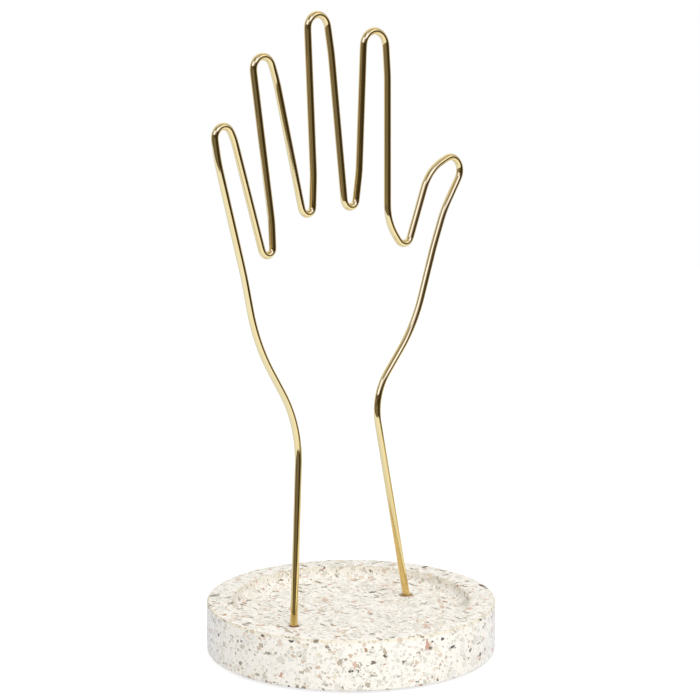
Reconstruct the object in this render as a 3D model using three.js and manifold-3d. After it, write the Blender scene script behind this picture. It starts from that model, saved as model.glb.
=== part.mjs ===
// A jewelry holder: one brass wire bent into the outline of an open hand, standing in the dish of
// a round terrazzo base.
//
// Millimetres, +Z up. The flat hand faces -Y with its thumb towards +X and leans back a little, and
// the origin is the middle of the face that the holder rests on.

import * as THREE from 'three';
import { mergeVertices } from 'three/addons/utils/BufferGeometryUtils.js';
import Module from 'manifold-3d';

const wasm = await Module();
wasm.setup();

// Terrazzo base: a solid round slab with a shallow round dish sunk in its top.
const baseDiameter = 120;
const baseHeight = 21;
const footEdgeRadius = 1;
const rimEdgeRadius = 0.8;
const rimWidth = 11;
const dishDepth = 5;
const dishLipRadius = 0.6;
const dishCoveRadius = 3;

// Thin foam pad under the base.
const padThickness = 1;
const padInset = 6;

// Wire, and the two blind sockets in the dish that its legs are glued into. The hand's plane leans
// back from upright about the line through its feet at the dish floor, and heights on the hand are
// measured up that plane: the wrist's from the feet.
const wireDiameter = 3;
const wristHeight = 86;
const handLean = THREE.MathUtils.degToRad(5.5);
const legInset = 16.5;
const stoneUnderSocket = 5.5;
const leftGlueWidth = 0.7;
const rightGlueWidth = 1.3;
const glueBed = 0.8;
const glueTopGap = 0.4;
const fitGap = 0.2;

// Fineness of the faceted surfaces.
const baseSides = 72;
const socketSides = 24;
const wireSides = 12;
const edgeSteps = 2;
const bendStep = THREE.MathUtils.degToRad(15);

const padRadius = baseDiameter / 2 - padInset;
const baseRadius = baseDiameter / 2;
const dishRadius = baseRadius - rimWidth;
const dishFloor = padThickness + baseHeight - dishDepth;
const socketDepth = baseHeight - dishDepth - stoneUnderSocket;
const wireRadius = wireDiameter / 2;
const legReach = dishRadius - legInset;

// The bends of the hand's centre line, in order from the little finger's leg round to the thumb's
// leg. x is measured from the middle of the dish and height up the hand's plane from the wrist. A
// bend with a turn is a loop round a peg at that point, as on a bending board. Any other is the
// corner where two straight runs would cross, and its radius is that of the bend between them.
const handBends = {
  leftWrist: { x: -21.7, height: -4.6, radius: 49 },
  leftHeel: { x: -41.9, height: 31.6, radius: 74 },
  leftEdge: { x: -45.8, height: 58.9, radius: 150 },

  littleLead: { x: -55.3, height: 106.1, radius: 56 },
  littleTip: { x: -51.5, height: 115.5, radius: 4.6, turn: 'right' },
  littleShoulder: { x: -45.9, height: 113.9, radius: 13.4 },
  littleGap: { x: -32.5, height: 69.3, radius: 3, turn: 'left' },

  ringSide: { x: -29.1, height: 79.7, radius: 27 },
  ringTip: { x: -28, height: 140.8, radius: 5.2, turn: 'right' },
  ringShoulder: { x: -21, height: 134.7, radius: 32.7 },
  ringGap: { x: -9.2, height: 83.6, radius: 3.1, turn: 'left' },

  middleSide: { x: -4.5, height: 96.1, radius: 33.4 },
  middleTip: { x: 3.4, height: 155.2, radius: 5.6, turn: 'right' },
  middleShoulder: { x: 10, height: 144.6, radius: 40 },
  middleGap: { x: 15.1, height: 84.2, radius: 3.4, turn: 'left' },

  indexSide: { x: 21.3, height: 95.2, radius: 26.4 },
  indexTip: { x: 34.9, height: 145.6, radius: 6.5, turn: 'right' },
  indexShoulder: { x: 41.2, height: 133, radius: 44 },
  indexBase: { x: 35.7, height: 72.5, radius: 20.3 },

  thumbGap: { x: 44.7, height: 66.4, radius: 4.1, turn: 'left' },
  thumbKnuckle: { x: 62, height: 91.6, radius: 20.8 },
  thumbTip: { x: 75, height: 90.3, radius: 5.7, turn: 'right' },
  thumbSide: { x: 69.4, height: 73.9, radius: 45 },
  thumbRoot: { x: 61.9, height: 59.4, radius: 61 },

  rightHeel: { x: 47.5, height: 27.5, radius: 70 },
  rightWrist: { x: 21.1, height: 1, radius: 24.3 },
};

const leftFoot = { x: -legReach, height: -wristHeight };
const rightFoot = { x: legReach, height: -wristHeight };
const handStops = [leftFoot, ...Object.values(handBends), rightFoot];

// The peg's radius, positive where the wire turns left round it and zero at a corner.
function signedPeg(stop) {
  const signs = { left: 1, right: -1 };
  return stop.turn ? signs[stop.turn] * stop.radius : 0;
}

function leftOf(heading) {
  return new THREE.Vector2(-Math.sin(heading), Math.cos(heading));
}

// Straight runs between neighbouring stops: the common tangents of their pegs.
function straightRuns(stops) {
  const runs = [];
  for (let i = 0; i + 1 < stops.length; i += 1) {
    const start = new THREE.Vector2(stops[i].x, stops[i].height);
    const end = new THREE.Vector2(stops[i + 1].x, stops[i + 1].height);
    const span = end.clone().sub(start);
    const lean = Math.asin((signedPeg(stops[i + 1]) - signedPeg(stops[i])) / span.length());
    const heading = span.angle() - lean;
    start.addScaledVector(leftOf(heading), -signedPeg(stops[i]));
    end.addScaledVector(leftOf(heading), -signedPeg(stops[i + 1]));
    runs.push({ start, end, heading });
  }
  return runs;
}

// Turn from one heading to the next: the shorter way at a corner, the way of its loop at a peg.
function turnBetween(heading, nextHeading, stop) {
  const fullTurn = 2 * Math.PI;
  const turn = THREE.MathUtils.euclideanModulo(nextHeading - heading, fullTurn);
  if (stop.turn === 'left') return turn;
  if (stop.turn === 'right') return turn - fullTurn;
  return turn > Math.PI ? turn - fullTurn : turn;
}

// Stations along the centre line: both ends, and points a small turn apart round every bend.
function layStations(stops, tailLength) {
  const runs = straightRuns(stops);
  const first = runs[0];
  const last = runs[runs.length - 1];
  const along = (heading) => new THREE.Vector2(Math.cos(heading), Math.sin(heading));
  const stations = [];
  stations.push({
    at: first.start.clone().addScaledVector(along(first.heading), -tailLength.left),
    heading: first.heading,
  });
  for (let i = 1; i + 1 < stops.length; i += 1) {
    const { heading, end } = runs[i - 1];
    const turn = turnBetween(heading, runs[i].heading, stops[i]);
    const radius = Math.sign(turn) * stops[i].radius;
    const easing = stops[i].turn ? 0 : stops[i].radius * Math.tan(Math.abs(turn) / 2);
    const bendStart = end.clone().addScaledVector(along(heading), -easing);
    const centre = bendStart.clone().addScaledVector(leftOf(heading), radius);
    const steps = Math.max(1, Math.ceil(Math.abs(turn) / bendStep));
    for (let step = 0; step <= steps; step += 1) {
      const stationHeading = heading + (turn * step) / steps;
      const at = centre.clone().addScaledVector(leftOf(stationHeading), -radius);
      stations.push({ at, heading: stationHeading });
    }
  }
  stations.push({
    at: last.end.clone().addScaledVector(along(last.heading), tailLength.right),
    heading: last.heading,
  });
  return stations;
}

// The centre line as a curve whose steps fall on the stations, so that a straight run is one step.
class StationCurve extends THREE.Curve {
  constructor(stations) {
    super();
    this.stations = stations;
  }

  getPoint(t, target = new THREE.Vector3()) {
    const place = t * (this.stations.length - 1);
    const index = Math.min(Math.floor(place), this.stations.length - 2);
    const from = this.stations[index].at;
    const to = this.stations[index + 1].at;
    const at = from.clone().lerp(to, place - index);
    return target.set(at.x, 0, at.y);
  }

  getPointAt(t, target) {
    return this.getPoint(t, target);
  }

  getTangentAt(t, target = new THREE.Vector3()) {
    const index = Math.round(t * (this.stations.length - 1));
    const { heading } = this.stations[index];
    return target.set(Math.cos(heading), 0, Math.sin(heading));
  }
}

// Each leg's lean to the side within the hand's plane, and the length of socket along it.
function legFrom(foot, next) {
  const lean = Math.atan2(next.x - foot.x, next.height - foot.height);
  return { x: foot.x, lean, socketLength: socketDepth / (Math.cos(lean) * Math.cos(handLean)) };
}

const leftLeg = legFrom(leftFoot, handBends.leftWrist);
const rightLeg = legFrom(rightFoot, handBends.rightWrist);
leftLeg.socketRadius = wireRadius + leftGlueWidth;
rightLeg.socketRadius = wireRadius + rightGlueWidth;

// Turns a piece made about the Z axis onto a leg, with its zero height at the dish floor.
function placeOnLeg(piece, leg) {
  const place = new THREE.Matrix4().makeTranslation(leg.x, 0, dishFloor);
  place.multiply(new THREE.Matrix4().makeRotationX(-handLean));
  place.multiply(new THREE.Matrix4().makeRotationY(leg.lean));
  piece.applyMatrix4(place);
  return piece;
}

// A round piece about the Z axis from a profile of radius and height.
function latheUp(profile, sides) {
  return new THREE.LatheGeometry(profile, sides).rotateX(Math.PI / 2);
}

function toManifold(geometry) {
  const plain = geometry.clone();
  plain.deleteAttribute('normal');
  plain.deleteAttribute('uv');
  const merged = mergeVertices(plain);
  const index = Array.from(merged.index.array);
  const triVerts = [];
  for (let i = 0; i < index.length; i += 3) {
    const [a, b, c] = index.slice(i, i + 3);
    if (a !== b && b !== c && c !== a) triVerts.push(a, b, c);
  }
  return new wasm.Manifold(new wasm.Mesh({
    numProp: 3,
    vertProperties: new Float32Array(merged.attributes.position.array),
    triVerts: new Uint32Array(triVerts),
  }));
}

function fromManifold(solid) {
  const mesh = solid.getMesh();
  const geometry = new THREE.BufferGeometry();
  geometry.setAttribute('position', new THREE.BufferAttribute(mesh.vertProperties, 3));
  geometry.setIndex(new THREE.BufferAttribute(mesh.triVerts, 1));
  geometry.computeVertexNormals();
  return geometry;
}

function baseProfile() {
  const bottom = padThickness;
  const top = padThickness + baseHeight;
  const quarter = Math.PI / 2;
  const profile = new THREE.Path();
  profile.moveTo(0, bottom);
  profile.lineTo(baseRadius - footEdgeRadius, bottom);
  profile.absarc(baseRadius - footEdgeRadius, bottom + footEdgeRadius, footEdgeRadius, -quarter, 0);
  profile.absarc(baseRadius - rimEdgeRadius, top - rimEdgeRadius, rimEdgeRadius, 0, quarter);
  profile.absarc(dishRadius + dishLipRadius, top - dishLipRadius, dishLipRadius, quarter, 2 * quarter);
  profile.absarc(dishRadius - dishCoveRadius, dishFloor + dishCoveRadius, dishCoveRadius, 0, -quarter, true);
  profile.lineTo(0, dishFloor);
  return profile.getPoints(edgeSteps);
}

// The socket's cutter reaches above the dish floor by as much as the leg's glue ring is wide.
function socketCutter(leg) {
  const length = leg.socketLength + leg.socketRadius;
  const cutter = new THREE.CylinderGeometry(leg.socketRadius, leg.socketRadius, length, socketSides);
  cutter.rotateX(Math.PI / 2);
  cutter.translate(0, 0, length / 2 - leg.socketLength);
  return placeOnLeg(cutter, leg);
}

function makeBase() {
  const slab = toManifold(latheUp(baseProfile(), baseSides));
  const leftSocket = toManifold(socketCutter(leftLeg));
  const rightSocket = toManifold(socketCutter(rightLeg));
  const geometry = fromManifold(slab.subtract(leftSocket).subtract(rightSocket));
  const material = new THREE.MeshStandardMaterial({ color: '#ece6d8', roughness: 0.55, metalness: 0 });
  const mesh = new THREE.Mesh(geometry, material);
  mesh.name = 'terrazzo_base';
  return mesh;
}

function makeWire() {
  const section = [];
  for (let side = 0; side < wireSides; side += 1) {
    const angle = (2 * Math.PI * side) / wireSides;
    section.push(new THREE.Vector2(wireRadius * Math.cos(angle), wireRadius * Math.sin(angle)));
  }
  const tailLength = {
    left: leftLeg.socketLength - glueBed - 2 * fitGap,
    right: rightLeg.socketLength - glueBed - 2 * fitGap,
  };
  const stations = layStations(handStops, tailLength);
  const geometry = new THREE.ExtrudeGeometry(new THREE.Shape(section), {
    steps: stations.length - 1,
    extrudePath: new StationCurve(stations),
    bevelEnabled: false,
  });
  geometry.translate(0, 0, wristHeight);
  geometry.rotateX(-handLean);
  geometry.translate(0, 0, dishFloor);
  const material = new THREE.MeshStandardMaterial({ color: '#c8a455', roughness: 0.15, metalness: 1 });
  const mesh = new THREE.Mesh(geometry, material);
  mesh.name = 'hand_wire';
  return mesh;
}

// Set glue: a cup that fills the socket round the leg and under its end.
function makeGlue(leg, name) {
  const outer = leg.socketRadius - fitGap;
  const inner = wireRadius + fitGap;
  const bottom = fitGap - leg.socketLength;
  const bed = bottom + glueBed;
  const top = -glueTopGap;
  const profile = [
    new THREE.Vector2(0, bottom),
    new THREE.Vector2(outer, bottom),
    new THREE.Vector2(outer, top),
    new THREE.Vector2(inner, top),
    new THREE.Vector2(inner, bed),
    new THREE.Vector2(0, bed),
  ];
  const material = new THREE.MeshStandardMaterial({ color: '#5b3b1d', roughness: 0.35, metalness: 0 });
  const mesh = new THREE.Mesh(latheUp(profile, socketSides), material);
  mesh.name = name;
  return placeOnLeg(mesh, leg);
}

function makePad() {
  const geometry = new THREE.CylinderGeometry(padRadius, padRadius, padThickness, baseSides);
  geometry.rotateX(Math.PI / 2);
  const material = new THREE.MeshStandardMaterial({ color: '#8d8a83', roughness: 0.9, metalness: 0 });
  const mesh = new THREE.Mesh(geometry, material);
  mesh.name = 'base_pad';
  mesh.position.z = padThickness / 2;
  return mesh;
}

const holder = new THREE.Group();
holder.add(makeBase());
holder.add(makeWire());
holder.add(makeGlue(leftLeg, 'left_leg_glue'));
holder.add(makeGlue(rightLeg, 'right_leg_glue'));
holder.add(makePad());

export default holder;
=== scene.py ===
import cmath
import math

import bmesh
import bpy
import numpy as np
from mathutils import Matrix, Vector


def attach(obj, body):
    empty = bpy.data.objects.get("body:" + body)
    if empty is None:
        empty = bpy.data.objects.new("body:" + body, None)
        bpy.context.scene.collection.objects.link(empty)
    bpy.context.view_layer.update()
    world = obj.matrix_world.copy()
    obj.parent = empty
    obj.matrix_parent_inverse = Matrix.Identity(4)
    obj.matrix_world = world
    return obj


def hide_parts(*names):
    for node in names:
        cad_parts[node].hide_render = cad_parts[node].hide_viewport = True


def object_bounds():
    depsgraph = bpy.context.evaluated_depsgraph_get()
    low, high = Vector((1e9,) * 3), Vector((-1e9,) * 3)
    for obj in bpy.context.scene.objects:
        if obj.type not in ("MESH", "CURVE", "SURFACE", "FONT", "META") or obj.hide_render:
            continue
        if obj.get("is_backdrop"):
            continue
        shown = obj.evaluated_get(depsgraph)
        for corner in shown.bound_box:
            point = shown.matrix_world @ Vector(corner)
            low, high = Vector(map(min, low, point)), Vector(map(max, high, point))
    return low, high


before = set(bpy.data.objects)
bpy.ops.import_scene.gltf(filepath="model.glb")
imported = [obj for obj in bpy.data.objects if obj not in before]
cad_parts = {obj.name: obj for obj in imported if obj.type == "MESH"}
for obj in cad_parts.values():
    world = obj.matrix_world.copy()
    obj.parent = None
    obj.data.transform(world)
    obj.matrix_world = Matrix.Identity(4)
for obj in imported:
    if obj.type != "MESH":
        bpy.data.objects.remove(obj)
cadLow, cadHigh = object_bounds()
print("frame loaded:", ", ".join(sorted(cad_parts)))

mm = 0.001  # lengths below are in millimetres, and Blender's are in metres
noiseLow, noiseHigh = 0.3, 0.7  # nearly all that a noise node gives lies between these


def toLinear(hexColour):
    channels = [int(hexColour[i:i + 2], 16) / 255 for i in (1, 3, 5)]
    return [c / 12.92 if c <= 0.04045 else ((c + 0.055) / 1.055) ** 2.4 for c in channels] + [1]


# One node with its settings; an input takes a value or the socket that feeds it, and stops fill a ramp
def addNode(tree, kind, settings=None, inputs=None, stops=None):
    node = tree.nodes.new(kind)
    for name, value in (settings or {}).items():
        setattr(node, name, value)
    for name, value in (inputs or {}).items():
        if isinstance(value, bpy.types.NodeSocket):
            tree.links.new(value, node.inputs[name])
        else:
            node.inputs[name].default_value = value
    if stops:
        ramp = node.color_ramp.elements
        while len(ramp) < len(stops):
            ramp.new(1)
        for element, (place, colour) in zip(ramp, stops):
            element.position = place
            element.color = colour
    return node


def newMaterial(name):
    material = bpy.data.materials.new(name)
    material.use_nodes = True
    material.node_tree.nodes.clear()
    return material, material.node_tree


photoCamera = {
    "azimuth": -43.874,
    "elevation": 11.592,
    "distance": 1225.0,
    "aim": (16.86, 18.19, 122.43),
    "lens": 150.87,  # on a 36 mm sensor, which the square picture fills
    "sensor": 36.0,
    "nearest": 50.0,
    "farthest": 20000.0,
}


def wayTo(azimuth, elevation):
    a, e = math.radians(azimuth), math.radians(elevation)
    return Vector((math.sin(a) * math.cos(e), -math.cos(a) * math.cos(e), math.sin(e)))


cameraData = bpy.data.cameras.new("photoCamera")
cameraData.lens = photoCamera["lens"]
cameraData.sensor_width = photoCamera["sensor"]
cameraData.clip_start, cameraData.clip_end = photoCamera["nearest"] * mm, photoCamera["farthest"] * mm
camera = bpy.data.objects.new("photoCamera", cameraData)
bpy.context.scene.collection.objects.link(camera)
towardsCamera = wayTo(photoCamera["azimuth"], photoCamera["elevation"])
camera.location = (Vector(photoCamera["aim"]) + towardsCamera * photoCamera["distance"]) * mm
camera.rotation_euler = (-towardsCamera).to_track_quat("-Z", "Y").to_euler()
bpy.context.scene.camera = camera
print("camera placed")


def addPiece(name, verts, faces, material, sharpAngle=35):
    mesh = bpy.data.meshes.new(name)
    mesh.from_pydata([[c * mm for c in v] for v in verts], [], faces)
    mesh.update()
    piece = bpy.data.objects.new(name, mesh)
    bpy.context.scene.collection.objects.link(piece)
    mesh.materials.append(material)
    mesh.shade_smooth()
    mesh.set_sharp_from_angle(angle=math.radians(sharpAngle))
    return piece


def arcPoints(centre, radius, startAngle, endAngle, steps):
    angles = [math.radians(startAngle + (endAngle - startAngle) * i / steps) for i in range(steps + 1)]
    return [(centre[0] + radius * math.cos(a), centre[1] + radius * math.sin(a)) for a in angles]


# Faces of a skin over rings of points, with a flat face on each end
def skinFaces(rings, sides):
    faces = []
    for i in range(rings - 1):
        here, above = i * sides, (i + 1) * sides
        for j in range(sides):
            k = (j + 1) % sides
            faces.append((here + j, here + k, above + k, above + j))
    faces.append(list(range(sides))[::-1])
    faces.append([(rings - 1) * sides + j for j in range(sides)])
    return faces


# Turns a profile of (radius, height) round the Z axis
def turnProfile(profile, segments):
    verts = []
    for radius, height in profile:
        for j in range(segments):
            a = 2 * math.pi * j / segments
            verts.append((radius * math.cos(a), radius * math.sin(a), height))
    return verts, skinFaces(len(profile), segments)


slab = {
    "diameter": 120.0,
    "height": 21.0,
    "padThickness": 1.0,  # the slab stands on its pad
    "footEdgeRadius": 1.0,
    "rimEdgeRadius": 0.8,
    "rimWidth": 11.0,
    "dishDepth": 5.0,
    "dishLipRadius": 0.6,
    "dishCoveRadius": 3.0,
    "stoneUnderSocket": 5.5,
    "socketChamfer": 0.25,
    "drillAbove": 3.0,  # how far the sockets' drill reaches above the dish floor
    "segments": 288,
    "socketSegments": 48,
    "arcSteps": 8,
    "sharpAngle": 30,
}
slabRadius = slab["diameter"] / 2
slabTop = slab["padThickness"] + slab["height"]
dishRadius = slabRadius - slab["rimWidth"]
dishFloor = slabTop - slab["dishDepth"]
socketDepth = slab["height"] - slab["dishDepth"] - slab["stoneUnderSocket"]


# Drawn brass wire, buffed and lacquered: a clean mirror, softened a little by buffing lines that
# run along the wire, with the slow ripple that bending by hand leaves in its reflections
brassFinish = {
    "tones": ("#edd28e", "#f3dca2"),
    "tonePatch": 18.2,  # mm
    # painted reflection: the wire is painted a deeper gold near the stone, standing in for the shaded dish
    # that the legs reflect there
    "paintedReflectionTone": "#e0c177",
    "paintedReflectionUpTo": 95.0,  # mm above the table
    "buffLine": (20.0, 0.45),  # mm along the wire and round it
    "roughness": (0.035, 0.085),
    "ripple": {"length": 11.1, "depth": 0.12, "strength": 0.25},  # mm
}


def makePolishedBrass(finish):
    material, tree = newMaterial("polishedBrass")
    # this map counts millimetres along the wire and round it, which draws the noise out into lines
    lengthAndTurn = addNode(tree, "ShaderNodeUVMap", {"uv_map": "alongWire"}).outputs["UV"]
    lineLength, lineWidth = finish["buffLine"]
    buffLines = addNode(tree, "ShaderNodeMapping", None, {
        "Vector": lengthAndTurn, "Scale": (1 / lineLength, 1 / lineWidth, 1)})
    buffNoise = addNode(tree, "ShaderNodeTexNoise", None, {
        "Vector": buffLines.outputs["Vector"], "Scale": 1.0, "Detail": 3.0, "Roughness": 0.6})
    smoothest, roughest = finish["roughness"]
    roughness = addNode(tree, "ShaderNodeMapRange", None, {
        "Value": buffNoise.outputs["Fac"], "From Min": noiseLow, "From Max": noiseHigh,
        "To Min": smoothest, "To Max": roughest})
    coords = addNode(tree, "ShaderNodeTexCoord").outputs["Object"]
    patches = addNode(tree, "ShaderNodeTexNoise", None, {
        "Vector": coords, "Scale": 1 / (finish["tonePatch"] * mm), "Detail": 2.0})
    darker, paler = finish["tones"]
    # the wire's own tone, in patches, above the painted reflection near the stone
    thin = addNode(tree, "ShaderNodeMix", {"data_type": "RGBA"}, {
        "Factor": patches.outputs["Fac"], "A": toLinear(darker), "B": toLinear(paler)})
    # painted reflection: thickness is the share of the deeper gold painted near the stone, full at the dish
    # floor and gone higher up
    height = addNode(tree, "ShaderNodeSeparateXYZ", None, {0: coords}).outputs["Z"]
    thickness = addNode(tree, "ShaderNodeMapRange", None, {
        "Value": height, "From Min": dishFloor * mm, "From Max": finish["paintedReflectionUpTo"] * mm,
        "To Min": 1.0, "To Max": 0.0})
    colour = addNode(tree, "ShaderNodeMix", {"data_type": "RGBA"}, {
        "Factor": thickness.outputs[0], "A": thin.outputs["Result"], "B": toLinear(finish["paintedReflectionTone"])})
    ripple = finish["ripple"]
    waves = addNode(tree, "ShaderNodeTexNoise", None, {
        "Vector": coords, "Scale": 1 / (ripple["length"] * mm), "Detail": 1.0})
    bump = addNode(tree, "ShaderNodeBump", None, {
        "Height": waves.outputs["Fac"], "Strength": ripple["strength"], "Distance": ripple["depth"] * mm})
    shader = addNode(tree, "ShaderNodeBsdfPrincipled", None, {
        "Base Color": colour.outputs["Result"], "Metallic": 1.0, "Roughness": roughness.outputs["Result"],
        "Normal": bump.outputs["Normal"]})
    addNode(tree, "ShaderNodeOutputMaterial", None, {"Surface": shader.outputs["BSDF"]})
    return material


# White cement with crushed marble, cast and then honed: near-white, with angular chips cut through
# at random, most of them pale grey and half hidden, some pink, tan or almost black. The level faces
# were ground deepest and show the most chips; the outer edges are darker and warmer, and the dish's wall has
# painted shade
terrazzoMix = {
    # lengths are in millimetres
    "cement": "#fdf9f2",
    "sand": {"tone": "#f1ece1", "grain": 0.5, "shows": (0.42, 0.68)},
    # the tone of the darker, warmer edges and of the painted shade on the dish's wall
    "edgeAndShadeTone": "#e3dac0",
    # full and gone are how far from the edge the tone starts to fade and where it ends
    "darkerEdges": {"share": 0.65, "full": 0.6, "gone": 2.0, "ragged": 1.2, "lessAtLip": 0.35},
    # painted shade: the dish's wall is a little darker and warmer too, most of all halfway up it
    "paintedWallShade": {"share": 0.14, "inFromLip": 0.4, "belowTop": 1.6, "full": 1.2, "gone": 3.6},
    # how far a face's normal points up where it counts as a wall and as level, and how many more
    # chips a level face shows
    "grinding": {"wall": 0.3, "level": 0.9, "moreChips": 1.5},
    "wander": {"length": 1.11, "reach": 1.3},
    "edgeBlur": 0.08,
    "gapSpread": (0.4, 2.2),
    "veins": {"width": 0.625, "tones": (0.90, 1.06)},
    "wettedRim": {"width": 0.16, "tone": 0.93},  # the width is a share of the chip's size
    "roughness": {"cement": 0.55, "chips": 0.4},
    "relief": {"depth": 0.02, "strength": 0.5, "sandShare": 0.35},
    # chip size, share of cells that hold a chip, gap to the next cell, stretch, colours by share
    "chips": [
        {"size": 1.1, "share": 0.38, "gap": 0.09, "stretch": (1, 0.9, 1), "colours": [
            (0.00, "#edeae0"), (0.28, "#dedacd"), (0.54, "#d3ccbc"), (0.70, "#e3d8c4"), (0.80, "#c0b7a5"),
            (0.89, "#cdb79b"), (0.96, "#a89984")]},
        {"size": 1.9, "share": 0.37, "gap": 0.08, "stretch": (1, 0.85, 1), "colours": [
            (0.00, "#efece4"), (0.22, "#e6e3da"), (0.44, "#dedace"), (0.60, "#ebe2ce"), (0.70, "#d3ccbd"),
            (0.79, "#e3d2c0"), (0.87, "#d5bfa9"), (0.92, "#bdb09b"), (0.96, "#c8a389"), (0.985, "#b38b62")]},
        {"size": 1.6, "share": 0.07, "gap": 0.15, "stretch": (1, 0.32, 1), "colours": [
            (0.00, "#b8ad9c"), (0.34, "#998d7a"), (0.62, "#7b705f"), (0.84, "#574d40")]},
        {"size": 1.6, "share": 0.07, "gap": 0.15, "stretch": (0.32, 1, 1), "colours": [
            (0.00, "#b8ad9c"), (0.34, "#998d7a"), (0.62, "#7b705f"), (0.84, "#574d40")]},
        {"size": 2.8, "share": 0.13, "gap": 0.10, "stretch": (1, 1, 0.8), "colours": [
            (0.00, "#edeae1"), (0.32, "#e2ded3"), (0.52, "#ede4d1"), (0.65, "#e6d4c3"), (0.78, "#dcbdaa"),
            (0.90, "#cfa48e"), (0.97, "#c4945e")]},
    ],
}


def makeHonedTerrazzo(mix):
    material, tree = newMaterial("honedTerrazzo")
    metres = addNode(tree, "ShaderNodeTexCoord").outputs["Object"]
    place = addNode(tree, "ShaderNodeVectorMath", {"operation": "SCALE"}, {
        0: metres, "Scale": 1 / mm}).outputs[0]
    normal = addNode(tree, "ShaderNodeNewGeometry").outputs["Normal"]
    facing = addNode(tree, "ShaderNodeSeparateXYZ", None, {0: normal}).outputs["Z"]
    grinding = mix["grinding"]
    ground = addNode(tree, "ShaderNodeMapRange", None, {
        "Value": facing, "From Min": grinding["wall"], "From Max": grinding["level"],
        "To Min": 1.0, "To Max": grinding["moreChips"]}).outputs[0]
    # chips are crushed, not cut, so their edges wander by a tenth or two of a millimetre
    wander = mix["wander"]
    wandering = addNode(tree, "ShaderNodeTexNoise", None, {
        "Vector": place, "Scale": 1 / wander["length"], "Detail": 2.0})
    centred = addNode(tree, "ShaderNodeVectorMath", {"operation": "SUBTRACT"}, {
        0: wandering.outputs["Color"], 1: (0.5, 0.5, 0.5)})
    crushed = addNode(tree, "ShaderNodeVectorMath", {"operation": "MULTIPLY_ADD"}, {
        0: centred.outputs[0], 1: [wander["reach"]] * 3, 2: place}).outputs[0]
    sand = addNode(tree, "ShaderNodeTexNoise", None, {
        "Vector": place, "Scale": 1 / mix["sand"]["grain"], "Detail": 3.0, "Roughness": 0.7}).outputs["Fac"]
    sandFrom, sandTo = mix["sand"]["shows"]
    sandShare = addNode(tree, "ShaderNodeMapRange", None, {
        "Value": sand, "From Min": sandFrom, "From Max": sandTo}).outputs[0]
    colour = addNode(tree, "ShaderNodeMix", {"data_type": "RGBA"}, {
        "Factor": sandShare, "A": toLinear(mix["cement"]),
        "B": toLinear(mix["sand"]["tone"])}).outputs["Result"]
    anyChip = None
    for number, chips in enumerate(mix["chips"]):
        # each layer of chips is moved and turned, so that no two layers have their cells alike
        turned = addNode(tree, "ShaderNodeMapping", None, {
            "Vector": crushed, "Location": (7.3 * number, 3.1 * number, 5.7 * number),
            "Rotation": (0.7 * number, 0.4 + 0.9 * number, 1.3 * number),
            "Scale": chips["stretch"]}).outputs["Vector"]
        cells = {"Vector": turned, "Scale": 1 / chips["size"], "Randomness": 1.0}
        edge = addNode(tree, "ShaderNodeTexVoronoi", {"feature": "DISTANCE_TO_EDGE"}, cells)
        cell = addNode(tree, "ShaderNodeTexVoronoi", {"feature": "F1"}, cells)
        draws = addNode(tree, "ShaderNodeSeparateColor", None, {"Color": cell.outputs["Color"]})
        share = addNode(tree, "ShaderNodeMath", {"operation": "MULTIPLY"}, {
            0: ground, 1: chips["share"]}).outputs[0]
        holdsChip = addNode(tree, "ShaderNodeMath", {"operation": "LESS_THAN"}, {
            0: draws.outputs["Red"], 1: share}).outputs[0]
        # each cell draws its own gap, so that no two chips are ground alike
        narrowest, widest = mix["gapSpread"]
        gap = addNode(tree, "ShaderNodeMapRange", None, {
            "Value": draws.outputs["Blue"], "To Min": chips["gap"] * narrowest,
            "To Max": chips["gap"] * widest}).outputs[0]
        inside = addNode(tree, "ShaderNodeMath", {"operation": "SUBTRACT"}, {
            0: edge.outputs["Distance"], 1: gap}).outputs[0]
        cover = addNode(tree, "ShaderNodeMapRange", None, {
            "Value": inside, "From Min": 0.0, "From Max": mix["edgeBlur"] / chips["size"]}).outputs[0]
        chipShare = addNode(tree, "ShaderNodeMath", {"operation": "MULTIPLY"}, {
            0: holdsChip, 1: cover}).outputs[0]
        stone = addNode(tree, "ShaderNodeValToRGB", None, {"Fac": draws.outputs["Green"]}, [
            (start, toLinear(hexColour)) for start, hexColour in chips["colours"]])
        stone.color_ramp.interpolation = "CONSTANT"
        # crystals and veins within a chip, and a darker rim where the cement wetted it
        veins = addNode(tree, "ShaderNodeTexNoise", None, {
            "Vector": turned, "Scale": 1 / mix["veins"]["width"], "Detail": 4.0, "Roughness": 0.65,
            "Distortion": 0.8})
        darkVein, paleVein = mix["veins"]["tones"]
        tone = addNode(tree, "ShaderNodeMapRange", None, {
            "Value": veins.outputs["Fac"], "From Min": noiseLow, "From Max": noiseHigh,
            "To Min": darkVein, "To Max": paleVein}).outputs[0]
        rim = addNode(tree, "ShaderNodeMapRange", None, {
            "Value": inside, "From Min": 0.0, "From Max": mix["wettedRim"]["width"],
            "To Min": mix["wettedRim"]["tone"], "To Max": 1.0}).outputs[0]
        tone = addNode(tree, "ShaderNodeMath", {"operation": "MULTIPLY"}, {0: tone, 1: rim}).outputs[0]
        veined = addNode(tree, "ShaderNodeVectorMath", {"operation": "SCALE"}, {
            0: stone.outputs["Color"], "Scale": tone}).outputs[0]
        colour = addNode(tree, "ShaderNodeMix", {"data_type": "RGBA"}, {
            "Factor": chipShare, "A": colour, "B": veined}).outputs["Result"]
        anyChip = chipShare if anyChip is None else addNode(
            tree, "ShaderNodeMath", {"operation": "MAXIMUM"}, {0: anyChip, 1: chipShare}).outputs[0]
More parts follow.
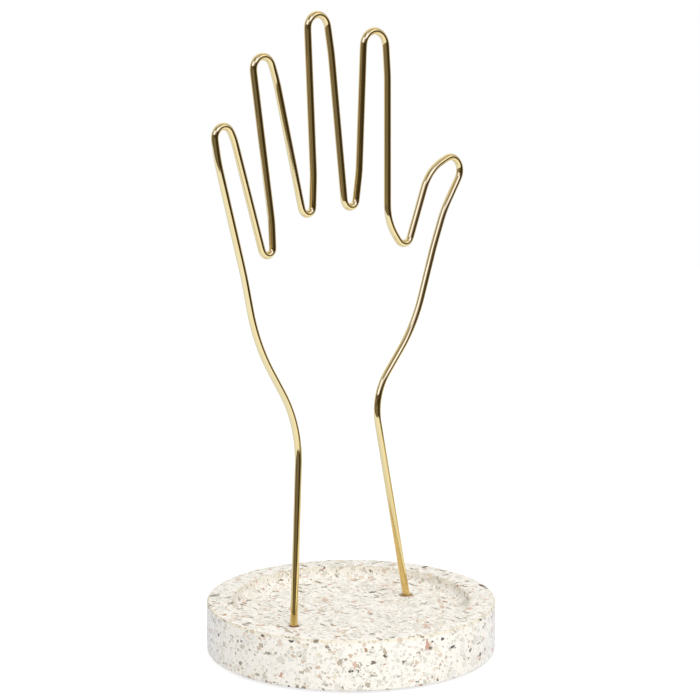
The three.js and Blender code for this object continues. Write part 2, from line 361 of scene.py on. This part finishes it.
    # distances in the plane of radius and height: to the slab's outer edge, the dish's lip and its wall
    parts = addNode(tree, "ShaderNodeSeparateXYZ", None, {0: place})
    level = addNode(tree, "ShaderNodeCombineXYZ", None, {"X": parts.outputs["X"], "Y": parts.outputs["Y"]})
    radius = addNode(tree, "ShaderNodeVectorMath", {"operation": "LENGTH"}, {
        0: level.outputs[0]}).outputs["Value"]
    section = addNode(tree, "ShaderNodeCombineXYZ", None, {"X": radius, "Y": parts.outputs["Z"]}).outputs[0]
    edges, wall = mix["darkerEdges"], mix["paintedWallShade"]
    middleOfWall = (dishRadius - wall["inFromLip"], slabTop - wall["belowTop"])
    toRim, toLip, toWall = [addNode(tree, "ShaderNodeVectorMath", {"operation": "DISTANCE"}, {
        0: section, 1: (*point, 0)}).outputs["Value"] for point in (
        (slabRadius, slabTop), (dishRadius, slabTop), middleOfWall)]
    farther = addNode(tree, "ShaderNodeMath", {"operation": "ADD"}, {
        0: toLip, 1: edges["lessAtLip"]}).outputs[0]
    toEdge = addNode(tree, "ShaderNodeMath", {"operation": "MINIMUM"}, {0: toRim, 1: farther}).outputs[0]
    ragged = addNode(tree, "ShaderNodeMath", {"operation": "MULTIPLY_ADD"}, {
        0: sand, 1: edges["ragged"], 2: toEdge}).outputs[0]
    # a darker, warmer band along the outer edge and the dish's lip, then painted shade on the dish's wall
    for distance, band in ((ragged, edges), (toWall, wall)):
        warmth = addNode(tree, "ShaderNodeMapRange", {"interpolation_type": "SMOOTHSTEP"}, {
            "Value": distance, "From Min": band["full"], "From Max": band["gone"],
            "To Min": band["share"], "To Max": 0.0}).outputs[0]
        colour = addNode(tree, "ShaderNodeMix", {"data_type": "RGBA", "blend_type": "MULTIPLY"}, {
            "Factor": warmth, "A": colour, "B": toLinear(mix["edgeAndShadeTone"])}).outputs["Result"]
    # marble takes more of a polish than the cement round it, and stands a hair proud of it
    roughness = addNode(tree, "ShaderNodeMapRange", None, {
        "Value": anyChip, "To Min": mix["roughness"]["cement"], "To Max": mix["roughness"]["chips"]})
    relief = mix["relief"]
    grain = addNode(tree, "ShaderNodeMath", {"operation": "MULTIPLY_ADD"}, {
        0: sand, 1: relief["sandShare"], 2: anyChip})
    bump = addNode(tree, "ShaderNodeBump", None, {
        "Height": grain.outputs[0], "Strength": relief["strength"], "Distance": relief["depth"] * mm})
    shader = addNode(tree, "ShaderNodeBsdfPrincipled", None, {
        "Base Color": colour, "Roughness": roughness.outputs["Result"], "IOR": 1.5,
        "Normal": bump.outputs["Normal"]})
    addNode(tree, "ShaderNodeOutputMaterial", None, {"Surface": shader.outputs["BSDF"]})
    return material


# Amber epoxy, set clear and glossy: dark brown to amber in clouds, darker and redder round the
# little-finger side's leg and more golden round the other
epoxyFinish = {
    "darkClouds": ("#4e2413", "#6a5220"),  # at the left leg and at the right one
    "thin": ("#93532a", "#b3934f"),
    "turnsGoldenWithin": 20.0,  # mm of the middle of the dish
    "cloud": 1.11,  # mm
    "depth": 0.1,  # mm
}


def makeSetEpoxy(finish):
    material, tree = newMaterial("setEpoxy")
    coords = addNode(tree, "ShaderNodeTexCoord").outputs["Object"]
    clouds = addNode(tree, "ShaderNodeTexNoise", None, {
        "Vector": coords, "Scale": 1 / (finish["cloud"] * mm), "Detail": 3.0})
    side = addNode(tree, "ShaderNodeSeparateXYZ", None, {0: coords}).outputs["X"]
    reach = finish["turnsGoldenWithin"] * mm
    golden = addNode(tree, "ShaderNodeMapRange", None, {
        "Value": side, "From Min": -reach, "From Max": reach})
    darkClouds, thin = [addNode(tree, "ShaderNodeMix", {"data_type": "RGBA"}, {
        "Factor": golden.outputs[0], "A": toLinear(left), "B": toLinear(right)}) for left, right in (
        finish["darkClouds"], finish["thin"])]
    colour = addNode(tree, "ShaderNodeMix", {"data_type": "RGBA"}, {
        "Factor": clouds.outputs["Fac"], "A": darkClouds.outputs["Result"], "B": thin.outputs["Result"]})
    bump = addNode(tree, "ShaderNodeBump", None, {
        "Height": clouds.outputs["Fac"], "Strength": 0.6, "Distance": finish["depth"] * mm})
    shader = addNode(tree, "ShaderNodeBsdfPrincipled", None, {
        "Base Color": colour.outputs["Result"], "Roughness": 0.18, "IOR": 1.55,
        "Normal": bump.outputs["Normal"]})
    addNode(tree, "ShaderNodeOutputMaterial", None, {"Surface": shader.outputs["BSDF"]})
    return material


# Thin closed-cell foam sheet, die cut: matt grey, with pores about a third of a millimetre wide, painted
# darker as shade in them
foamFinish = {
    "poreShadeTone": "#8a877f",
    "wallTone": "#a5a29a",
    "pore": 1 / 3,  # mm
    "depth": 0.1,  # mm
}


def makeFoamRubber(finish):
    material, tree = newMaterial("foamRubber")
    coords = addNode(tree, "ShaderNodeTexCoord").outputs["Object"]
    pores = addNode(tree, "ShaderNodeTexVoronoi", {"feature": "F1"}, {
        "Vector": coords, "Scale": 1 / (finish["pore"] * mm)}).outputs["Distance"]
    # painted shade: darker at the middle of each pore
    colour = addNode(tree, "ShaderNodeMix", {"data_type": "RGBA"}, {
        "Factor": pores, "A": toLinear(finish["poreShadeTone"]), "B": toLinear(finish["wallTone"])})
    bump = addNode(tree, "ShaderNodeBump", None, {
        "Height": pores, "Strength": 0.7, "Distance": finish["depth"] * mm})
    shader = addNode(tree, "ShaderNodeBsdfPrincipled", None, {
        "Base Color": colour.outputs["Result"], "Roughness": 0.9, "Normal": bump.outputs["Normal"]})
    addNode(tree, "ShaderNodeOutputMaterial", None, {"Surface": shader.outputs["BSDF"]})
    return material


polishedBrass = makePolishedBrass(brassFinish)
honedTerrazzo = makeHonedTerrazzo(terrazzoMix)
setEpoxy = makeSetEpoxy(epoxyFinish)
foamRubber = makeFoamRubber(foamFinish)
print("materials made")


def slabProfile():
    foot, rim = slab["footEdgeRadius"], slab["rimEdgeRadius"]
    lip, cove, steps = slab["dishLipRadius"], slab["dishCoveRadius"], slab["arcSteps"]
    bottom = slab["padThickness"]
    profile = arcPoints((slabRadius - foot, bottom + foot), foot, -90, 0, steps)
    profile += arcPoints((slabRadius - rim, slabTop - rim), rim, 0, 90, steps)
    profile += arcPoints((dishRadius + lip, slabTop - lip), lip, 90, 180, steps)
    profile += arcPoints((dishRadius - cove, dishFloor + cove), cove, 0, -90, steps)
    return profile


handWire = {
    "diameter": 3.0,
    "wristHeight": 86.0,
    "legReach": 32.5,
    "leanBack": 5.5,  # degrees from upright, about the line through the feet at the dish floor
    "tailGap": 1.2,  # left under each end in its socket
    "spacing": 0.1,  # between the points of the centre line
    "easing": 0.8,  # how far a bend runs out into the straight wire beside it
    "sides": 36,
    "mostTurn": 4.0,  # degrees from one ring of the tube to the next
    "mostStep": 2.5,
    "endChamfer": 0.3,
    # x from the dish's middle, height up the hand's plane from the wrist, radius, and the way it loops
    # round a peg, if it does
    "bends": {
        "leftWrist": (-21.7, -4.6, 49, None),
        "leftHeel": (-41.9, 31.6, 74, None),
        "leftEdge": (-45.8, 58.9, 150, None),
        "littleLead": (-55.3, 106.1, 56, None),
        "littleTip": (-51.5, 115.5, 4.6, "right"),
        "littleShoulder": (-45.9, 113.9, 13.4, None),
        "littleGap": (-32.5, 69.3, 3, "left"),
        "ringSide": (-29.1, 79.7, 27, None),
        "ringTip": (-28, 140.8, 5.2, "right"),
        "ringShoulder": (-21, 134.7, 32.7, None),
        "ringGap": (-9.2, 83.6, 3.1, "left"),
        "middleSide": (-4.5, 96.1, 33.4, None),
        "middleTip": (3.4, 155.2, 5.6, "right"),
        "middleShoulder": (10, 144.6, 40, None),
        "middleGap": (15.1, 84.2, 3.4, "left"),
        "indexSide": (21.3, 95.2, 26.4, None),
        "indexTip": (34.9, 145.6, 6.5, "right"),
        "indexShoulder": (41.2, 133, 44, None),
        "indexBase": (35.7, 72.5, 20.3, None),
        "thumbGap": (44.7, 66.4, 4.1, "left"),
        "thumbKnuckle": (62, 91.6, 20.8, None),
        "thumbTip": (75, 90.3, 5.7, "right"),
        "thumbSide": (69.4, 73.9, 45, None),
        "thumbRoot": (61.9, 59.4, 61, None),
        "rightHeel": (47.5, 27.5, 70, None),
        "rightWrist": (21.1, 1, 24.3, None),
    },
}
wireRadius = handWire["diameter"] / 2
leanBack = math.radians(handWire["leanBack"])


# Lean of a leg to the side in the hand's plane, where it stands, and how long its socket is
def legAt(side, wrist):
    footX = side * handWire["legReach"]
    wristX, wristHeight = handWire["bends"][wrist][:2]
    lean = math.atan2(wristX - footX, wristHeight + handWire["wristHeight"])
    return {"x": footX, "lean": lean, "socketLength": socketDepth / (math.cos(lean) * math.cos(leanBack))}


leftLeg = legAt(-1, "leftWrist")
rightLeg = legAt(1, "rightWrist")
leftLeg["glueWidth"] = 0.7
rightLeg["glueWidth"] = 1.3


# Centre line of the wire in the hand's plane, as complex numbers of x and height above the feet:
# common tangents of the pegs, with an arc at each bend
def layCentreLine(spacing):
    sides = {"left": 1, "right": -1, None: 0}
    reach, wrist = handWire["legReach"], handWire["wristHeight"]
    stops = [(complex(-reach, 0), 0, 0)]
    stops += [(complex(x, h + wrist), r, sides[way]) for x, h, r, way in handWire["bends"].values()]
    stops += [(complex(reach, 0), 0, 0)]
    runs = []
    for (at, radius, side), (nextAt, nextRadius, nextSide) in zip(stops, stops[1:]):
        span = nextAt - at
        heading = cmath.phase(span) - math.asin((nextSide * nextRadius - side * radius) / abs(span))
        left = 1j * cmath.exp(1j * heading)
        runs.append((at - left * side * radius, nextAt - left * nextSide * nextRadius, heading))
    tails = [leg["socketLength"] - handWire["tailGap"] for leg in (leftLeg, rightLeg)]
    line = [runs[0][0] - tails[0] * cmath.exp(1j * runs[0][2])]
    for (_, runEnd, heading), (_, _, nextHeading), (_, radius, side) in zip(runs, runs[1:], stops[1:]):
        turn = (nextHeading - heading) % (2 * math.pi)
        if side < 0 or (side == 0 and turn > math.pi):
            turn -= 2 * math.pi
        bend = math.copysign(radius, turn)
        easing = 0 if side else radius * math.tan(abs(turn) / 2)
        centre = runEnd - easing * cmath.exp(1j * heading) + 1j * bend * cmath.exp(1j * heading)
        steps = max(1, math.ceil(abs(turn) * radius / spacing))
        for step in range(steps + 1):
            line.append(centre - 1j * bend * cmath.exp(1j * (heading + turn * step / steps)))
    line.append(runs[-1][1] + tails[1] * cmath.exp(1j * runs[-1][2]))
    return np.array(line)


# Even spacing, then a short average under a bell curve, so that no bend starts or stops at once
def easeLine(line, spacing):
    along = np.concatenate([[0], np.cumsum(np.abs(np.diff(line)))])
    count = int(along[-1] / spacing)
    even = np.interp(np.linspace(0, along[-1], count), along, line.real) + 1j * np.interp(
        np.linspace(0, along[-1], count), along, line.imag)
    width = handWire["easing"] / spacing
    reach = int(3 * width)  # nearly all of a bell curve lies within three of its widths
    weights = np.exp(-0.5 * (np.arange(-reach, reach + 1) / width) ** 2)
    weights /= weights.sum()
    lead = even[0] + (even[0] - even[1]) * np.arange(reach, 0, -1)
    trail = even[-1] + (even[-1] - even[-2]) * np.arange(1, reach + 1)
    return np.convolve(np.concatenate([lead, even, trail]), weights, mode="valid")


# Places for the rings of the tube: close together round the bends and further apart along the runs
def pickRings(line, spacing):
    way = np.gradient(line)
    heading = np.unwrap(np.angle(way))
    picked, last = [0], 0
    for i in range(1, len(line)):
        turned = abs(heading[i] - heading[last])
        if turned >= math.radians(handWire["mostTurn"]) or (i - last) * spacing >= handWire["mostStep"]:
            picked.append(i)
            last = i
    if picked[-1] != len(line) - 1:
        picked.append(len(line) - 1)
    return picked, heading


# From the hand's plane to the dish: behind the plane and up it, to back and height
def leanPoint(x, behind, up):
    back = behind * math.cos(leanBack) + up * math.sin(leanBack)
    return x, back, dishFloor + up * math.cos(leanBack) - behind * math.sin(leanBack)


def makeHandWire():
    spacing, sides, chamfer = handWire["spacing"], handWire["sides"], handWire["endChamfer"]
    line = easeLine(layCentreLine(spacing), spacing)
    picked, heading = pickRings(line, spacing)
    rings = [(line[i], heading[i], wireRadius, i * spacing) for i in picked]
    first, last = rings[0], rings[-1]
    endRadius = wireRadius - chamfer
    rings.insert(0, (first[0] - chamfer * cmath.exp(1j * first[1]), first[1], endRadius, -chamfer))
    rings.append((last[0] + chamfer * cmath.exp(1j * last[1]), last[1], endRadius, last[3] + chamfer))
    verts = []
    for at, way, radius, _ in rings:
        left = 1j * cmath.exp(1j * way)
        for j in range(sides):
            a = 2 * math.pi * j / sides
            point = at + left * radius * math.sin(a)
            verts.append(leanPoint(point.real, radius * math.cos(a), point.imag))
    wire = addPiece("brassHandWire", verts, skinFaces(len(rings), sides), polishedBrass)
    # the buffing lines' map, in the order of the faces' corners; the two ends need none
    mapped = []
    around = 2 * math.pi * wireRadius / sides
    for (_, _, _, start), (_, _, _, end) in zip(rings, rings[1:]):
        for j in range(sides):
            here, beside = j * around, (j + 1) * around
            mapped += [(start, here), (start, beside), (end, beside), (end, here)]
    mapped += [(0, 0)] * (2 * sides)
    layer = wire.data.uv_layers.new(name="alongWire")
    layer.data.foreach_set("uv", np.array(mapped, np.float32).ravel())
    fixNormals(wire)
    print("wire bent:", len(rings), "rings,", round(len(line) * spacing), "mm long")
    return wire


def fixNormals(piece):
    work = bmesh.new()
    work.from_mesh(piece.data)
    bmesh.ops.recalc_face_normals(work, faces=work.faces)
    work.to_mesh(piece.data)
    work.free()


# The drill for a leg's socket: along the leg, and flared at the dish floor where the edge was eased
def makeSocketDrill(leg):
    radius = wireRadius + leg["glueWidth"]
    flare = slab["socketChamfer"]
    widest = radius + 3 * flare
    profile = [(radius, -leg["socketLength"]), (radius, -flare), (radius + flare, 0),
               (widest, 2 * flare), (widest, slab["drillAbove"])]
    verts, faces = turnProfile(profile, slab["socketSegments"])
    drill = addPiece("socketDrill", verts, faces, honedTerrazzo)
    drill.data.transform(Matrix.Rotation(-leanBack, 4, "X") @ Matrix.Rotation(leg["lean"], 4, "Y"))
    drill.data.transform(Matrix.Translation((leg["x"] * mm, 0, dishFloor * mm)))
    fixNormals(drill)
    return drill


def makeSlab():
    verts, faces = turnProfile(slabProfile(), slab["segments"])
    piece = addPiece("terrazzoSlab", verts, faces, honedTerrazzo)
    fixNormals(piece)
    for leg in (leftLeg, rightLeg):
        drill = makeSocketDrill(leg)
        cut = piece.modifiers.new("socket", "BOOLEAN")
        cut.operation, cut.solver, cut.object = "DIFFERENCE", "EXACT", drill
        bpy.context.view_layer.update()
        shown = piece.evaluated_get(bpy.context.evaluated_depsgraph_get())
        drilled = bpy.data.meshes.new_from_object(shown)
        piece.modifiers.clear()
        piece.data = drilled
        bpy.data.objects.remove(drill)
    piece.data.name = "terrazzoSlab"
    while len(piece.data.materials) > 1:
        piece.data.materials.pop()
    piece.data.shade_smooth()
    piece.data.set_sharp_from_angle(angle=math.radians(slab["sharpAngle"]))
    print("slab cast:", len(piece.data.polygons), "faces")
    return piece


glue = {
    "stoneGap": 0.02,
    "wireGap": 0.01,
    "endGap": 0.4,  # left at the socket's end
    "bed": 0.8,
    "core": 0.2,  # radius of the flat middle of the bed's two faces
    "climb": 0.35,  # up the wire from the dish floor
    "sink": 0.45,  # below the dish floor, halfway between wire and stone
    "wallTop": 0.15,  # below the dish floor, at the stone
    "meniscusSteps": 10,
    # height of the wavering, its number of waves round the leg, and its share of the phase
    "waves": ((0.072, 3, 1.0), (0.0432, 7, 2.3)),
    "calmBelow": 1.0,
    "segments": 48,
    "sharpAngle": 60,
}


# A level pool that climbs the wire and the stone a little, and fills the socket below
def makeGlue(name, leg, phase):
    outer = wireRadius + leg["glueWidth"] - glue["stoneGap"]
    inner = wireRadius + glue["wireGap"]
    steepest = math.hypot(math.tan(leg["lean"]), math.tan(leanBack))
    bottom = glue["endGap"] - socketDepth + outer * steepest
    bedTop = bottom + glue["bed"]
    profile = [(glue["core"], bottom), (outer, bottom)]
    for i in range(glue["meniscusSteps"] + 1):
        t = i / glue["meniscusSteps"]
        height = -glue["wallTop"] * (1 - t) ** 2 - glue["sink"] * 2 * t * (1 - t) + glue["climb"] * t ** 3
        profile.append((outer + (inner - outer) * t, height))
    profile += [(inner, bedTop), (glue["core"], bedTop)]
    verts, faces = turnProfile(profile, glue["segments"])
    sideSlope, backSlope = math.tan(leg["lean"]) / math.cos(leanBack), math.tan(leanBack)
    stretchX, stretchY = 1 / math.cos(leg["lean"]), 1 / math.cos(leanBack)
    shaped = []
    for x, y, z in verts:
        if z > -glue["calmBelow"]:
            angle = math.atan2(y, x)
            for height, number, phaseShare in glue["waves"]:
                z += height * math.sin(number * angle + phaseShare * phase)
        sideways, back = x * stretchX + sideSlope * z, y * stretchY + backSlope * z
        shaped.append((leg["x"] + sideways, back, dishFloor + z))
    piece = addPiece(name, shaped, faces, setEpoxy, glue["sharpAngle"])
    fixNormals(piece)
    return piece


footPad = {"inset": 6.0, "edgeRadius": 0.3, "segments": 144, "arcSteps": 4, "sharpAngle": 60}


def makeFootPad():
    radius, soft = slabRadius - footPad["inset"], footPad["edgeRadius"]
    thickness, steps = slab["padThickness"], footPad["arcSteps"]
    profile = arcPoints((radius - soft, soft), soft, -90, 0, steps)
    profile += arcPoints((radius - soft, thickness - soft), soft, 0, 90, steps)
    verts, faces = turnProfile(profile, footPad["segments"])
    piece = addPiece("foamFootPad", verts, faces, foamRubber, footPad["sharpAngle"])
    fixNormals(piece)
    return piece


pieces = [
    (makeSlab(), "terrazzo_base", "terrazzo"),
    (makeHandWire(), "hand_wire", "polished_brass"),
    (makeGlue("leftLegGlue", leftLeg, 0.4), "left_leg_glue", "set_glue"),
    (makeGlue("rightLegGlue", rightLeg, 2.1), "right_leg_glue", "set_glue"),
    (makeFootPad(), "base_pad", "foam_pad"),
]
for piece, node, slotName in pieces:
    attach(piece, "root")
    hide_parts(node)
print("pieces placed:", ", ".join(piece.name for piece, _, _ in pieces))


# Directions are azimuths from the camera's, towards the picture's right, and elevations, in degrees;
# places are in millimetres towards the camera and to the right, from under the dish
studio = {
    "tableCorners": ((1185, 439), (1060, 960), (-860, 820), (-1000, -840), (120, -970)),
    "tableColour": "#e9e8e4",
    "tableUnderPad": 0.2,  # the table lies a hair below the pad
    # a camera sees this grey, which takes the object's shadow, and a glow that makes it white
    "tableInShade": "#a0a0a0",
    "tableGlow": 0.78,
    # the metal finds it brightest in front, cooler at the back, and darker out to the right
    "tableInMetal": 1.84,
    "tableFromTheBack": ((-100, "#cfdaf5"), (260, "#e4ecff")),
    "tableToTheRight": ((145, "#dbdde3"), (240, "#fffdf4"), (325, "#e0d5c0"),
                        (430, "#c7bda5"), (560, "#bcb49c")),
    "darkerTowards": 109,
    "fillLevel": 0.40,
    "fillOverhead": 0.915,
    "softboxAim": 120.0,  # height that the softboxes point at
    # azimuth, elevation, distance, width, height and brightness
    "softboxes": {
        "leftSoftbox": (-20, 39, 1300, 1150, 480, 1.95),
        "rightSoftbox": (40, 38, 1300, 1150, 560, 3.6),
    },
    # what the metal finds round it, the nearer things after those behind them: tone, level, azimuths,
    # elevations, how far the sides and the ends fade, and how much the ends rise for a degree to the right
    "surround": ("#e5edff", 0.94),
    "room": {
        "ceiling": ("#e5e9ff", 0.70, (-190, 190), (51, 100), (1, 6), 0),
        "behindLeft": ("#f7fff6", 1.10, (-200, -135), (-60, 60), (10, 10), 0),
        "behindRight": ("#fbfdff", 0.68, (128, 160), (-60, 60), (10, 10), 0),
        "darkBehind": ("#fff0dd", 0.35, (165, 200), (-40, 20), (10, 2), 0),
        "backSoftbox": ("#fff8ee", 1.25, (152, 212), (26, 48), (8, 2), 0),
        "ceilingLeft": ("#fff3e9", 0.25, (-80, 20), (52, 100), (15, 1.5), -0.24),
        "ceilingRight": ("#dcdcff", 0.93, (18, 51), (52, 100), (5, 3), 0),
        "leftWall": ("#cfd0ff", 0.64, (-108, -56), (-40, 50), (5, 6), 0.32),
        "leftWallLow": ("#fffaf6", 0.36, (-101, -56), (-40, 23), (5, 6), 0),
        "rightWall": ("#fdf6ff", 0.49, (57, 119), (-40, 62), (3.5, 6), 0),
        "rightWallHigh": ("#fdffff", 1.38, (66, 102), (19, 42.5), (14, 6), 0.08),
        "rightWallLow": ("#ffcbf0", 0.07, (61, 114), (-40, 12), (1.2, 6), -0.20),
        "underBoxes": ("#ffcff2", 0.10, (-77, 78), (-40, 34.5), (1, 0.8), -0.06),
        "floor": ("#fff6e2", 0.20, (-54, 55), (-40, 21.5), (11, 1.5), 0),
        "darkFront": ("#ffebc5", 0.07, (-26, 34), (10, 20), (9, 0.8), 0),
        "darkRight": ("#ffe198", 0.05, (21, 92), (-40, 13.5), (6.5, 1), -0.21),
        "betweenBoxes": ("#d2d5ff", 1.15, (-8, 40), (29.5, 56.5), (4.5, 3), 0.04),
        "leftSoftbox": ("#c3d0ff", 2.30, (-61, 2), (27, 53), (3.5, 0.8), 0),
        "rightSoftbox": ("#c2cdff", 2.47, (30, 76), (24, 49.5), (16, 2.5), -0.47),
    },
}
towardsLens = wayTo(photoCamera["azimuth"], 0)
toTheRight = Vector((-towardsLens.y, towardsLens.x, 0))


# Stops of a ramp over lengths, and the share of the way along it at a place on the table
def tableRamp(tree, place, direction, stops):
    low, high = stops[0][0], stops[-1][0]
    along = addNode(tree, "ShaderNodeVectorMath", {"operation": "DOT_PRODUCT"}, {0: place, 1: direction})
    share = addNode(tree, "ShaderNodeMapRange", None, {
        "Value": along.outputs["Value"], "From Min": low * mm, "From Max": high * mm})
    return addNode(tree, "ShaderNodeValToRGB", None, {"Fac": share.outputs[0]}, [
        ((at - low) / (high - low), toLinear(hexColour)) for at, hexColour in stops]).outputs["Color"]


# White laminate, smooth and matt: plain white to a camera; to the metal it glows in painted tones of light,
# brightest in front, for the table as the room lights it
def addTable():
    material, tree = newMaterial("whiteLaminate")
    path = addNode(tree, "ShaderNodeLightPath")
    lit = addNode(tree, "ShaderNodeBsdfDiffuse", None, {"Color": toLinear(studio["tableColour"])})
    glow = addNode(tree, "ShaderNodeEmission", None, {"Strength": studio["tableGlow"]})
    shaded = addNode(tree, "ShaderNodeBsdfDiffuse", None, {"Color": toLinear(studio["tableInShade"])})
    toCamera = addNode(tree, "ShaderNodeAddShader", None, {0: shaded.outputs[0], 1: glow.outputs[0]})
    place = addNode(tree, "ShaderNodeTexCoord").outputs["Object"]
    darker = wayTo(photoCamera["azimuth"] + studio["darkerTowards"], 0)
    tone = addNode(tree, "ShaderNodeMix", {"data_type": "RGBA", "blend_type": "MULTIPLY"}, {
        "Factor": 1.0, "A": tableRamp(tree, place, towardsLens, studio["tableFromTheBack"]),
        "B": tableRamp(tree, place, darker, studio["tableToTheRight"])})
    inMetal = addNode(tree, "ShaderNodeEmission", None, {
        "Color": tone.outputs["Result"], "Strength": studio["tableInMetal"]})
    mirrored = addNode(tree, "ShaderNodeMath", {"operation": "MAXIMUM"}, {
        0: path.outputs["Is Glossy Ray"], 1: path.outputs["Is Transmission Ray"]})
    seen = addNode(tree, "ShaderNodeMixShader", None, {
        0: path.outputs["Is Camera Ray"], 1: lit.outputs[0], 2: toCamera.outputs[0]})
    surface = addNode(tree, "ShaderNodeMixShader", None, {
        0: mirrored.outputs[0], 1: seen.outputs[0], 2: inMetal.outputs[0]})
    addNode(tree, "ShaderNodeOutputMaterial", None, {"Surface": surface.outputs[0]})
    corners = [towardsLens * u + toTheRight * v + Vector((0, 0, -studio["tableUnderPad"]))
               for u, v in studio["tableCorners"]]
    table = addPiece("studioTable", corners, [list(range(len(corners)))], material)
    table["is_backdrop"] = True


# They light the object; what the metal shows of them is in the room's areas
def addSoftboxes():
    for name, (azimuth, elevation, distance, width, height, brightness) in studio["softboxes"].items():
        light = bpy.data.lights.new(name, "AREA")
        light.shape = "RECTANGLE"
        light.size, light.size_y = width * mm, height * mm
        light.energy = brightness * math.pi * light.size * light.size_y
        lamp = bpy.data.objects.new(name, light)
        bpy.context.scene.collection.objects.link(lamp)
        lamp.visible_glossy = False
        out = wayTo(photoCamera["azimuth"] + azimuth, elevation)
        lamp.location = (out * distance + Vector((0, 0, studio["softboxAim"]))) * mm
        lamp.rotation_euler = out.to_track_quat("Z", "Y").to_euler()


def scaled(hexColour, level):
    return [c * level for c in toLinear(hexColour)[:3]] + [1]


# One area of the room laid over what is there already
def layArea(tree, under, azimuth, elevation, area):
    tone, brightness, (left, right), (low, high), (softSide, softEnd), tilt = area
    fromMiddle = addNode(tree, "ShaderNodeMath", {"operation": "SUBTRACT"}, {
        0: azimuth, 1: (left + right) / 2}).outputs[0]
    wrapped = addNode(tree, "ShaderNodeMath", {"operation": "WRAP"}, {
        0: fromMiddle, 1: 180, 2: -180}).outputs[0]
    sideways = addNode(tree, "ShaderNodeMath", {"operation": "ABSOLUTE"}, {0: wrapped}).outputs[0]
    level = addNode(tree, "ShaderNodeMath", {"operation": "MULTIPLY_ADD"}, {
        0: wrapped, 1: -tilt, 2: elevation}).outputs[0]
    # each edge: what is measured, where it lies, how softly it fades, and which way is inwards
    edges = (
        (sideways, (right - left) / 2, softSide, -1),
        (level, low, softEnd, 1),
        (level, high, softEnd, -1),
    )
    cover = None
    for value, edge, soft, inwards in edges:
        part = addNode(tree, "ShaderNodeMapRange", {"interpolation_type": "SMOOTHSTEP"}, {
            "Value": value, "From Min": edge - soft, "From Max": edge + soft,
            "To Min": 0.5 - 0.5 * inwards, "To Max": 0.5 + 0.5 * inwards}).outputs[0]
        cover = part if cover is None else addNode(
            tree, "ShaderNodeMath", {"operation": "MULTIPLY"}, {0: cover, 1: part}).outputs[0]
    return addNode(tree, "ShaderNodeMix", {"data_type": "RGBA"}, {
        "Factor": cover, "A": under, "B": scaled(tone, brightness)}).outputs["Result"]


# White to the camera and behind the object, as the table is. The metal also finds the room in front
# of it, dark between the table and the softboxes, which is what gives polished brass its lines
def lightWorld():
    world = bpy.data.worlds.new("softStudio")
    world.use_nodes = True
    tree = world.node_tree
    tree.nodes.clear()
    path = addNode(tree, "ShaderNodeLightPath")
    way = addNode(tree, "ShaderNodeTexCoord").outputs["Generated"]
    turned = addNode(tree, "ShaderNodeVectorRotate", {"rotation_type": "Z_AXIS"}, {
        "Vector": way, "Angle": -math.atan2(towardsLens.y, towardsLens.x)})
    parts = addNode(tree, "ShaderNodeSeparateXYZ", None, {0: turned.outputs[0]})
    across = addNode(tree, "ShaderNodeMath", {"operation": "ARCTAN2"}, {
        0: parts.outputs["Y"], 1: parts.outputs["X"]}).outputs[0]
    azimuth = addNode(tree, "ShaderNodeMath", {"operation": "DEGREES"}, {0: across}).outputs[0]
    rise = addNode(tree, "ShaderNodeMath", {"operation": "ARCSINE"}, {0: parts.outputs["Z"]}).outputs[0]
    elevation = addNode(tree, "ShaderNodeMath", {"operation": "DEGREES"}, {0: rise}).outputs[0]
    mirrored = scaled(*studio["surround"])
    for area in studio["room"].values():
        mirrored = layArea(tree, mirrored, azimuth, elevation, area)
    overhead = addNode(tree, "ShaderNodeMapRange", None, {
        "Value": parts.outputs["Z"], "To Min": studio["fillLevel"],
        "To Max": studio["fillOverhead"]}).outputs[0]
    white = toLinear("#ffffff")
    fill = addNode(tree, "ShaderNodeBackground", None, {"Color": white, "Strength": overhead})
    shown = addNode(tree, "ShaderNodeBackground", None, {"Color": white, "Strength": 1.0})
    inMetal = addNode(tree, "ShaderNodeBackground", None, {"Color": mirrored, "Strength": 1.0})
    glossy = addNode(tree, "ShaderNodeMath", {"operation": "MAXIMUM"}, {
        0: path.outputs["Is Glossy Ray"], 1: path.outputs["Is Transmission Ray"]})
    lit = addNode(tree, "ShaderNodeMixShader", None, {
        0: glossy.outputs[0], 1: fill.outputs[0], 2: inMetal.outputs[0]})
    surface = addNode(tree, "ShaderNodeMixShader", None, {
        0: path.outputs["Is Camera Ray"], 1: lit.outputs[0], 2: shown.outputs[0]})
    addNode(tree, "ShaderNodeOutputWorld", None, {"Surface": surface.outputs[0]})
    bpy.context.scene.world = world


addTable()
addSoftboxes()
lightWorld()
bpy.context.scene.view_settings.view_transform = "Standard"
print("studio lit")

drawnLow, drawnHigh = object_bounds()
cadSize, drawnSize = [[round(c / mm, 1) for c in high - low] for low, high in (
    (cadLow, cadHigh), (drawnLow, drawnHigh))]
print("cad", cadSize, "visual", drawnSize)
